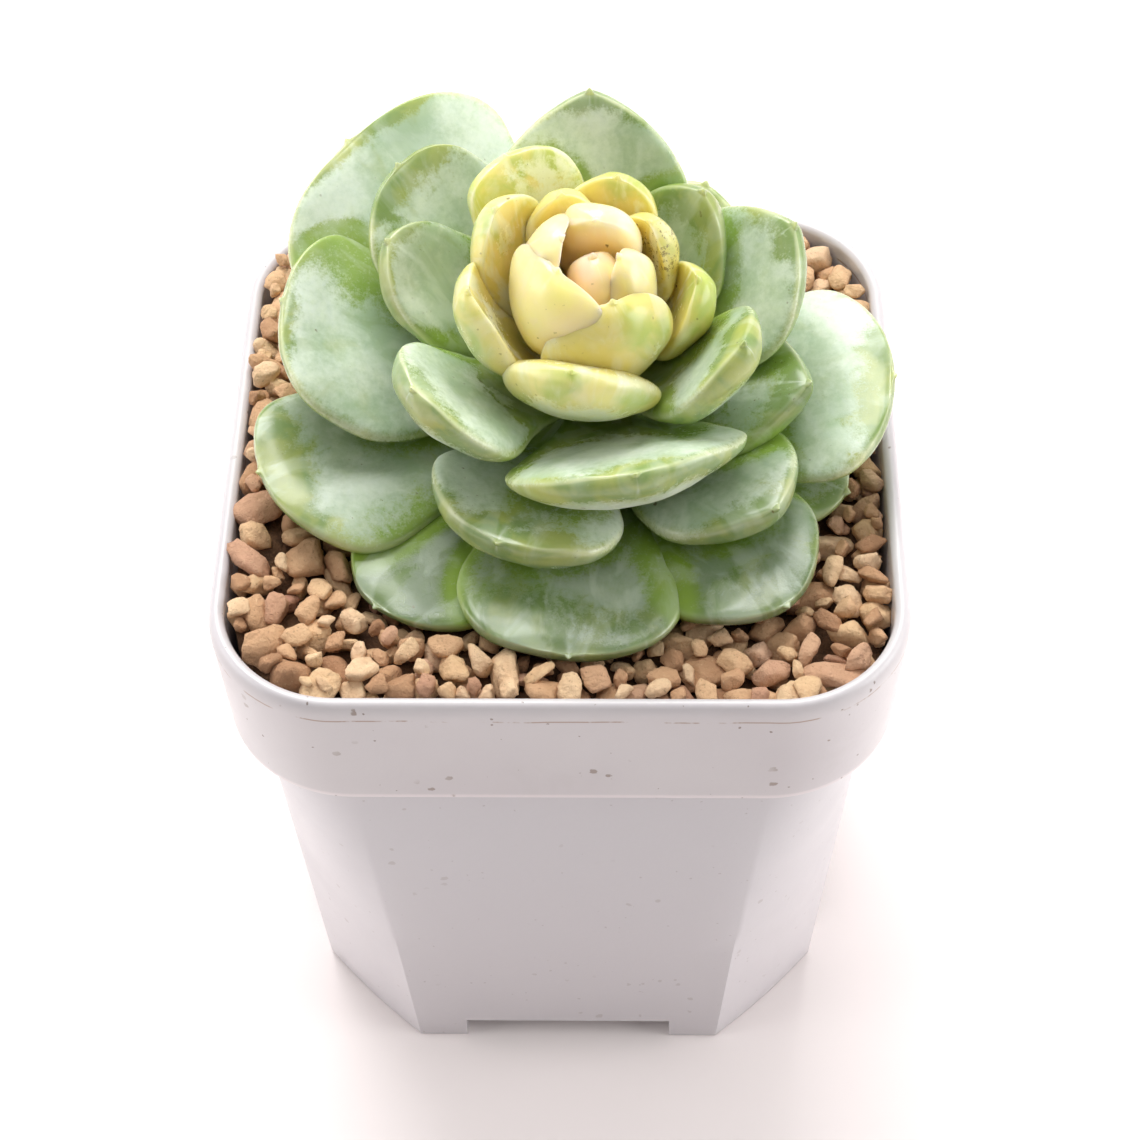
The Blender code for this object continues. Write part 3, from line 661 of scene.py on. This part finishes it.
def build_stem():
    """The knobbly stem, down into the soil."""
    verts = []
    for i in range(STEM_RINGS):
        height = -STEM_SUNK + i * (STEM_HEIGHT + STEM_SUNK) / (STEM_RINGS - 1)
        radius = stem_radius_at(height) * (1 + 0.06 * math.sin(height * 2.6))
        for k in range(STEM_SIDES):
            a = 2 * math.pi * k / STEM_SIDES
            point = Vector((radius * math.cos(a), radius * math.sin(a), height))
            point *= 1 + 0.04 * noise.noise(point * 0.6)
            verts.append(ROSETTE @ (point * MM))
    faces = tube_faces(STEM_RINGS, STEM_SIDES)
    piece("skin_stem", verts, faces, stem_material(), ["stem"])


# --- pot ---------------------------------------------------------------------------------------

WALL = 1.7
BAND_HEIGHT = 16.0
BAND_DRAFT = 0.7
BAND_STEP = 2.2
BASE_HALF = 28.8
RIM_CORNER = 13.5
BODY_CORNER = 11.0
BASE_CHAMFER = 11.4
FLOOR_UNDERSIDE = 4.6
NOTCH_WIDTH = 23.8
NOTCH_HEIGHT = 3.8
DRAIN_RADIUS = 3.0
DRAIN_RING = 12.0  # from the middle hole to the four others
BAND_EDGE_ROUND = 0.45
LIP_ROUND = 0.75  # the lip's inner rounding
LIP_DROP = 2.0  # how far down the lip's outer rounding starts
DIRT_LINE_DEPTH = 2.1
BAND_SHADE_DEPTH = 70.0  # the body's painted shade from the band fades, and the body gets paler, down to here
TOP = POT_TOP / MM
RIM = RIM_HALF / MM
BAND_FOOT = TOP - BAND_HEIGHT
BAND_FOOT_HALF = RIM - BAND_DRAFT
BODY_TOP_HALF = BAND_FOOT_HALF - BAND_STEP
INNER_HALF = BAND_FOOT_HALF - WALL
INNER_CORNER = RIM_CORNER - WALL
CORNER_STEPS = 20
SIDE_STEPS = 8


def square_loop(half, corner, z, roundness=1.0):
    """A square outline whose corners go from a straight cut, 0, to a full round, 1."""
    points = []
    for quarter in range(4):
        turn = Matrix.Rotation(math.radians(90 * quarter), 3, "Z")
        start = Vector((half, half - corner))
        end = Vector((half - corner, half))
        centre = Vector((half - corner, half - corner))
        for step in range(1, SIDE_STEPS):
            share = step / SIDE_STEPS
            y = (corner - half) + 2 * (half - corner) * share
            points.append(turn @ Vector((half, y, z)))
        for step in range(CORNER_STEPS + 1):
            share = step / CORNER_STEPS
            angle = math.radians(90 * share)
            arc = centre + corner * Vector((math.cos(angle), math.sin(angle)))
            point = start.lerp(end, share).lerp(arc, roundness)
            points.append(turn @ Vector((point.x, point.y, z)))
    return points


def body_loop(z, inset=0.0):
    """The tapering body's outline at height z."""
    share = z / BAND_FOOT
    half = BASE_HALF + (BODY_TOP_HALF - BASE_HALF) * share
    corner = BASE_CHAMFER + (BODY_CORNER - BASE_CHAMFER) * share
    roundness = min(1.0, 0.12 + 0.88 * share**2)
    return square_loop(half - inset, corner - 0.6 * inset, z, roundness)


def band_loop(z, inset=0.0):
    """The rim band's outline at height z."""
    half = BAND_FOOT_HALF + BAND_DRAFT * (z - BAND_FOOT) / BAND_HEIGHT
    return square_loop(half - inset, RIM_CORNER - inset, z)


def rounded(radius, steps, from_degrees, to_degrees):
    """(sideways, upward) offsets of a small quarter round."""
    for k in range(steps + 1):
        a = math.radians(from_degrees + (to_degrees - from_degrees) * k / steps)
        yield radius * math.cos(a), radius * math.sin(a)


def wall_distance(x, y):
    """How far a point in the pot's mouth is from the inner wall, in mm."""
    ax, ay = abs(x), abs(y)
    straight = INNER_HALF - INNER_CORNER
    if ax > straight and ay > straight:
        return INNER_CORNER - math.hypot(ax - straight, ay - straight)
    return INNER_HALF - max(ax, ay)


def pot_loops():
    """Outlines from the floor's underside, down the foot, up the outside and down the inside."""
    loops = [body_loop(FLOOR_UNDERSIDE, WALL), body_loop(0.0, WALL)]
    loops += [body_loop(0.0, 0.3), body_loop(0.12, 0.08), body_loop(0.4)]
    loops += [body_loop(BAND_FOOT * k / 14) for k in range(1, 14)]
    loops += [body_loop(BAND_FOOT - 0.3), body_loop(BAND_FOOT)]
    loops += [band_loop(BAND_FOOT, 1.2)]
    for out, up in rounded(BAND_EDGE_ROUND, 5, -90, 0):
        loops.append(band_loop(BAND_FOOT + BAND_EDGE_ROUND + up, BAND_EDGE_ROUND - out))
    loops += [band_loop(BAND_FOOT + BAND_HEIGHT * k / 6) for k in range(1, 6)]
    for out, up in rounded(1.0, 9, 0, 90):
        inset = (WALL - LIP_ROUND) * (1 - out)
        loops.append(band_loop(TOP - LIP_DROP + LIP_DROP * up, inset))
    for out, up in rounded(LIP_ROUND, 7, 90, 180):
        loops.append(band_loop(TOP - LIP_ROUND + up, WALL - LIP_ROUND - out))
    loops += [band_loop(TOP - 4.0, WALL), band_loop(BAND_FOOT + WALL, WALL)]
    loops += [body_loop(BAND_FOOT + WALL - 2.0, WALL), body_loop(0.5 * BAND_FOOT, WALL)]
    loops += [body_loop(FLOOR_UNDERSIDE + WALL, WALL)]
    return loops


def build_pot():
    """The moulding, with its foot notches and drain holes cut out."""
    loops = pot_loops()
    verts = [p * MM for loop in loops for p in loop]
    faces = tube_faces(len(loops), len(loops[0]))
    pot = piece("plastic_pot", verts, faces, pot_material(), ["pot"])
    cutters = []
    for size in ((4 * BASE_HALF, NOTCH_WIDTH), (NOTCH_WIDTH, 4 * BASE_HALF)):
        bm = bmesh.new()
        bmesh.ops.create_cube(bm, size=1.0)
        bm.transform(Matrix.Diagonal((size[0] * MM, size[1] * MM, 2 * NOTCH_HEIGHT * MM, 1.0)))
        cutters.append(bm)
    bm = bmesh.new()
    spots = [(0.0, 0.0)]
    for k in range(4):
        a = math.pi / 4 + k * math.pi / 2
        spots.append((DRAIN_RING * math.cos(a), DRAIN_RING * math.sin(a)))
    for x, y in spots:
        bmesh.ops.create_cone(
            bm, cap_ends=True, segments=32, radius1=DRAIN_RADIUS * MM,
            radius2=DRAIN_RADIUS * MM, depth=4 * WALL * MM,
            matrix=Matrix.Translation((x * MM, y * MM, (FLOOR_UNDERSIDE + WALL / 2) * MM)),
        )
    cutters.append(bm)
    objects = []
    for number, bm in enumerate(cutters):
        mesh = bpy.data.meshes.new("cutter")
        bm.to_mesh(mesh)
        bm.free()
        cutter = bpy.data.objects.new(f"cutter_{number}", mesh)
        bpy.context.scene.collection.objects.link(cutter)
        modifier = pot.modifiers.new(f"cut_{number}", "BOOLEAN")
        modifier.operation = "DIFFERENCE"
        modifier.solver = "EXACT"
        modifier.object = cutter
        objects.append(cutter)
    settle(pot)
    for cutter in objects:
        bpy.data.objects.remove(cutter)
    pot.data.set_sharp_from_angle(angle=math.radians(32))


def settle(obj):
    """Applies an object's modifiers to its mesh."""
    depsgraph = bpy.context.evaluated_depsgraph_get()
    mesh = bpy.data.meshes.new_from_object(obj.evaluated_get(depsgraph))
    obj.modifiers.clear()
    obj.data = mesh


# --- grit and soil -----------------------------------------------------------------------------

CELL = 0.35  # the height map's cell, in mm
STONE_KINDS = 26
STONE_COUNT = 1700
STONE_RADII = ((0.8, 1.1), (1.2, 1.6), (1.4, 1.9), (1.6, 2.3), (2.1, 2.8))  # equally likely
STONE_TILT = 0.45
STONE_TRIES = 26
STONE_SETTLING = 0.12
LEAF_CLEARANCE = 0.2
HIGHEST_STONE = 1.5  # above the grit's level


def grit_level(x, y):
    """The grit's surface in mm: heaped to the wall, to the left and to the back."""
    edge = np.maximum(abs(x), abs(y)) / RIM
    return TOP - 1.9 + 1.5 * edge**3 - 1.2 * x / RIM + 0.6 * y / RIM


def bare_spot(x, y):
    """1 in the middle of the patch where the soil shows, 0 outside of it."""
    return np.clip(1.3 - np.hypot((x + 30.0) / 3.4, (y + 14.0) / 3.4), 0.0, 1.0)


def bed_level(x, y):
    """The soil's surface in mm, under the stones and up to the top in the bare spot."""
    return grit_level(x, y) - 2.5 + 1.7 * bare_spot(x, y)


def stone_kinds(rng):
    """Rounded, flat-sided lumps of unit size, each a soft-edged meeting of random planes."""
    bm = bmesh.new()
    bmesh.ops.create_icosphere(bm, subdivisions=3, radius=1.0)
    directions = [v.co.normalized() for v in bm.verts]
    faces = [tuple(v.index for v in f.verts) for f in bm.faces]
    bm.free()
    kinds = []
    for kind in range(STONE_KINDS):
        planes = []
        for _ in range(rng.randint(9, 12)):
            normal = Vector((rng.gauss(0, 1), rng.gauss(0, 1), rng.gauss(0, 1))).normalized()
            planes.append((normal, rng.uniform(0.6, 0.98)))
        sharp = rng.uniform(50, 130)
        points = []
        for direction in directions:
            total = sum(max(0.0, n.dot(direction) / d) ** sharp for n, d in planes)
            radius = min(1.22, max(total, 1e-9) ** (-1 / sharp))
            radius *= 1 + 0.12 * noise.noise(direction * 1.7 + Vector((kind * 3.1, 0, 0)))
            radius *= 1 + 0.08 * noise.noise(direction * 4.5 + Vector((0, kind * 3.1, 0)))
            points.append(direction * radius)
        kinds.append(np.array([tuple(p) for p in points]))
    return kinds, faces


def leaf_ceiling(size):
    """Height of the lowest leaf skin over each cell of the grit, in mm."""
    ceiling = np.full((size, size), 1e3)
    for obj in list(bpy.data.objects):
        if not obj.name.startswith("skin_") or obj.name == "skin_stem":
            continue
        count = len(obj.data.vertices)
        points = np.empty(count * 3)
        obj.data.vertices.foreach_get("co", points)
        points = points.reshape(-1, 3) / MM
        cells = np.floor((points[:, :2] + RIM) / CELL).astype(int)
        inside = ((cells >= 0) & (cells < size)).all(axis=1)
        np.minimum.at(ceiling, (cells[inside, 0], cells[inside, 1]), points[inside, 2])
    return ceiling


def to_wall(x, y, distance):
    """The point moved straight out from the middle until it is that far from the wall."""
    for _ in range(4):
        step = 1 + (wall_distance(x, y) - distance) / max(1.0, math.hypot(x, y))
        x, y = x * step, y * step
    return x, y


def random_stone(rng, kinds):
    """One stone's points in mm, lying about flat."""
    radii = np.array([1.0, rng.uniform(0.58, 0.95), rng.uniform(0.5, 0.85)])
    radii *= rng.uniform(*rng.choice(STONE_RADII))
    turn = Matrix.Rotation(rng.uniform(0, 2 * math.pi), 3, "Z")
    turn = turn @ Matrix.Rotation(rng.gauss(0, STONE_TILT), 3, "X")
    turn = turn @ Matrix.Rotation(rng.gauss(0, STONE_TILT), 3, "Y")
    return kinds[rng.randrange(STONE_KINDS)] * radii @ np.array(turn).T


def stone_cells(shape):
    """The height map's cells that a stone covers, with its top and its underside in each."""
    top_cells, low_cells = {}, {}
    grid = np.floor(shape[:, :2] / CELL).astype(int)
    for cell, z in zip(map(tuple, grid), shape[:, 2]):
        top_cells[cell] = max(top_cells.get(cell, -1e3), z)
        low_cells[cell] = min(low_cells.get(cell, 1e3), z)
    cells = list(top_cells)
    tops = np.array([top_cells[cell] for cell in cells])
    lows = np.array([low_cells[cell] for cell in cells])
    return np.array(cells), tops, lows


def resting_place(rng, shape, stone, level, ceiling):
    """The lowest of some random places where a stone fits, or None."""
    cells, tops, lows = stone
    size = len(level)
    reach = float(np.abs(shape[:, :2]).max())
    stem = ROSETTE.translation / MM
    best = None
    for _ in range(STONE_TRIES):
        x = rng.uniform(-INNER_HALF, INNER_HALF)
        y = rng.uniform(-INNER_HALF, INNER_HALF)
        if rng.random() < 0.4:
            x, y = to_wall(x, y, reach * rng.uniform(0.45, 0.8))
        if wall_distance(x, y) < reach * 0.4 or rng.random() < bare_spot(x, y):
            continue
        if math.hypot(x - stem.x, y - stem.y) < STEM_RADIUS + reach:
            continue
        ii = np.clip(cells[:, 0] + int((x + RIM) / CELL), 0, size - 1)
        jj = np.clip(cells[:, 1] + int((y + RIM) / CELL), 0, size - 1)
        rest = float(np.percentile(level[ii, jj] - lows, 93)) - STONE_SETTLING
        if (rest + tops + LEAF_CLEARANCE > ceiling[ii, jj]).any():
            continue
        above = rest - grit_level(x, y)
        if best is None or above < best[0]:
            best = (above, rest, x, y, ii, jj)
    return best


def build_grit():
    """Stones dropped one by one on the soil and on each other, clear of the leaves."""
    rng = random.Random(41)
    kinds, stone_faces = stone_kinds(rng)
    size = int(2 * RIM / CELL)
    ceiling = leaf_ceiling(size)
    middle = (np.arange(size) + 0.5) * CELL - RIM
    level = bed_level(*np.meshgrid(middle, middle, indexing="ij"))
    verts, faces, tones, blushes = [], [], [], []
    for _ in range(STONE_COUNT):
        shape = random_stone(rng, kinds)
        stone = stone_cells(shape)
        tops = stone[1]
        best = resting_place(rng, shape, stone, level, ceiling)
        if best is None or best[0] + float(tops.max()) > HIGHEST_STONE:
            continue
        _, rest, x, y, ii, jj = best
        np.maximum.at(level, (ii, jj), rest + tops)
        base = len(verts)
        verts.extend((shape + np.array([x, y, rest])) * MM)
        faces.extend((a + base, b + base, c + base) for a, b, c in stone_faces)
        tones.extend([rng.random()] * len(shape))
        blushes.extend([rng.random()] * len(shape))
    piece(
        "grit_stones", verts, faces, grit_material(), ["grit_layer"],
        attributes={"tone": tones, "blush": blushes},
    )


BED_RINGS = 70
BED_SIDES = 160
BED_DEPTH = 12.0


def build_bed():
    """The soil's crumbly surface under the stones, closed below."""
    verts, faces, edge = [], [], []
    for k in range(BED_SIDES):
        a = 2 * math.pi * k / BED_SIDES
        direction = Vector((math.cos(a), math.sin(a)))
        reach = 0.05
        while wall_distance(*(direction * reach)) > 0:
            reach += 0.05
        edge.append(direction * (reach - 0.1))
    for i in range(BED_RINGS + 1):
        for k in range(BED_SIDES):
            p = edge[k] * (i / BED_RINGS)
            lump = noise.noise(Vector((p.x * 0.5, p.y * 0.5, 3.0)))
            crumb = noise.noise(Vector((p.x * 1.6, p.y * 1.6, 8.0)))
            verts.append(Vector((p.x, p.y, bed_level(*p) + 0.7 * lump + 0.4 * crumb)) * MM)
    verts.extend(Vector((p.x, p.y, TOP - BED_DEPTH)) * MM for p in edge)
    for i in range(BED_RINGS + 1):
        a, b = i * BED_SIDES, (i + 1) * BED_SIDES
        for k in range(BED_SIDES):
            n = (k + 1) % BED_SIDES
            faces.append((a + k, b + k, b + n, a + n))
    last = (BED_RINGS + 1) * BED_SIDES
    faces.append(tuple(last + BED_SIDES - 1 - k for k in range(BED_SIDES)))
    piece("soil_bed", verts, faces, soil_material(), ["potting_soil"])


# --- stage -------------------------------------------------------------------------------------

CAMERA_AIM = Vector((0.0, 0.0, 51.7 * MM))
CAMERA_DISTANCE = 291.2 * MM
CAMERA_ELEVATION = math.radians(50.4)
CAMERA_YAW = math.radians(1.9)
CAMERA_ROLL = math.radians(-1.36)
CAMERA_LENS = 83.33
CAMERA_SHIFT = 0.0042

# name, place, aim, size, power
LIGHTS = (
    ("key", (-0.08, 0.36, 0.76), (0, 0, 0.05), (0.55, 0.45), 6.6),
    ("top", (0.0, -0.32, 0.85), (0, -0.2, 0.0), (0.9, 0.5), 1.7),
    ("left", (-0.7, -0.1, 0.25), (0, 0, 0.05), (0.5, 0.4), 2.1),
    ("right", (0.7, -0.1, 0.25), (0, 0, 0.05), (0.5, 0.4), 3.1),
)


def build_camera():
    """The camera, aimed by its distance, elevation, yaw and roll."""
    back = Vector((
        math.sin(CAMERA_YAW) * math.cos(CAMERA_ELEVATION),
        -math.cos(CAMERA_YAW) * math.cos(CAMERA_ELEVATION),
        math.sin(CAMERA_ELEVATION),
    ))
    right = Vector((math.cos(CAMERA_YAW), math.sin(CAMERA_YAW), 0.0))
    up = back.cross(right)
    x = right * math.cos(CAMERA_ROLL) + up * math.sin(CAMERA_ROLL)
    y = up * math.cos(CAMERA_ROLL) - right * math.sin(CAMERA_ROLL)
    data = bpy.data.cameras.new("camera")
    data.lens = CAMERA_LENS
    data.sensor_width = 36.0
    data.shift_x = CAMERA_SHIFT
    data.clip_start = 0.01
    data.clip_end = 20.0
    camera = bpy.data.objects.new("camera", data)
    turn = Matrix((x, y, back)).transposed().to_4x4()
    camera.matrix_world = Matrix.Translation(CAMERA_AIM + back * CAMERA_DISTANCE) @ turn
    bpy.context.scene.collection.objects.link(camera)
    bpy.context.scene.camera = camera


def build_light(name, place, aim, size, power):
    """A white area light."""
    data = bpy.data.lights.new(name, "AREA")
    data.shape = "RECTANGLE"
    data.size, data.size_y = size
    data.energy = power
    light = bpy.data.objects.new(name, data)
    light.location = place
    light.rotation_euler = (Vector(aim) - Vector(place)).to_track_quat("-Z", "Y").to_euler()
    bpy.context.scene.collection.objects.link(light)


def build_floor():
    """A wide, plain floor at the part's foot."""
    mesh = bpy.data.meshes.new("floor")
    mesh.from_pydata([(-3, -3, 0), (3, -3, 0), (3, 3, 0), (-3, 3, 0)], [], [(0, 1, 2, 3)])
    mesh.materials.append(floor_material())
    floor = bpy.data.objects.new("floor", mesh)
    bpy.context.scene.collection.objects.link(floor)


def build_world():
    """Soft light all round, brighter towards the back."""
    world = bpy.data.worlds.new("studio")
    world.use_nodes = True
    tree = world.node_tree
    place = tree.nodes.new("ShaderNodeTexCoord")
    split = tree.nodes.new("ShaderNodeSeparateXYZ")
    spread = tree.nodes.new("ShaderNodeMapRange")
    spread.interpolation_type = "SMOOTHSTEP"
    for key, value in (("From Min", -1.0), ("From Max", 0.9), ("To Min", 0.05), ("To Max", 0.7)):
        spread.inputs[key].default_value = value
    background = tree.nodes["Background"]
    background.inputs["Color"].default_value = (1.0, 0.985, 0.98, 1.0)
    tree.links.new(place.outputs["Generated"], split.inputs[0])
    tree.links.new(split.outputs[1], spread.inputs["Value"])
    tree.links.new(spread.outputs["Result"], background.inputs["Strength"])
    bpy.context.scene.world = world


build_camera()
build_leaves()
build_stem()
build_pot()
build_grit()
build_bed()
build_floor()
build_world()
for light in LIGHTS:
    build_light(*light)
bpy.context.scene.view_settings.view_transform = "Standard"
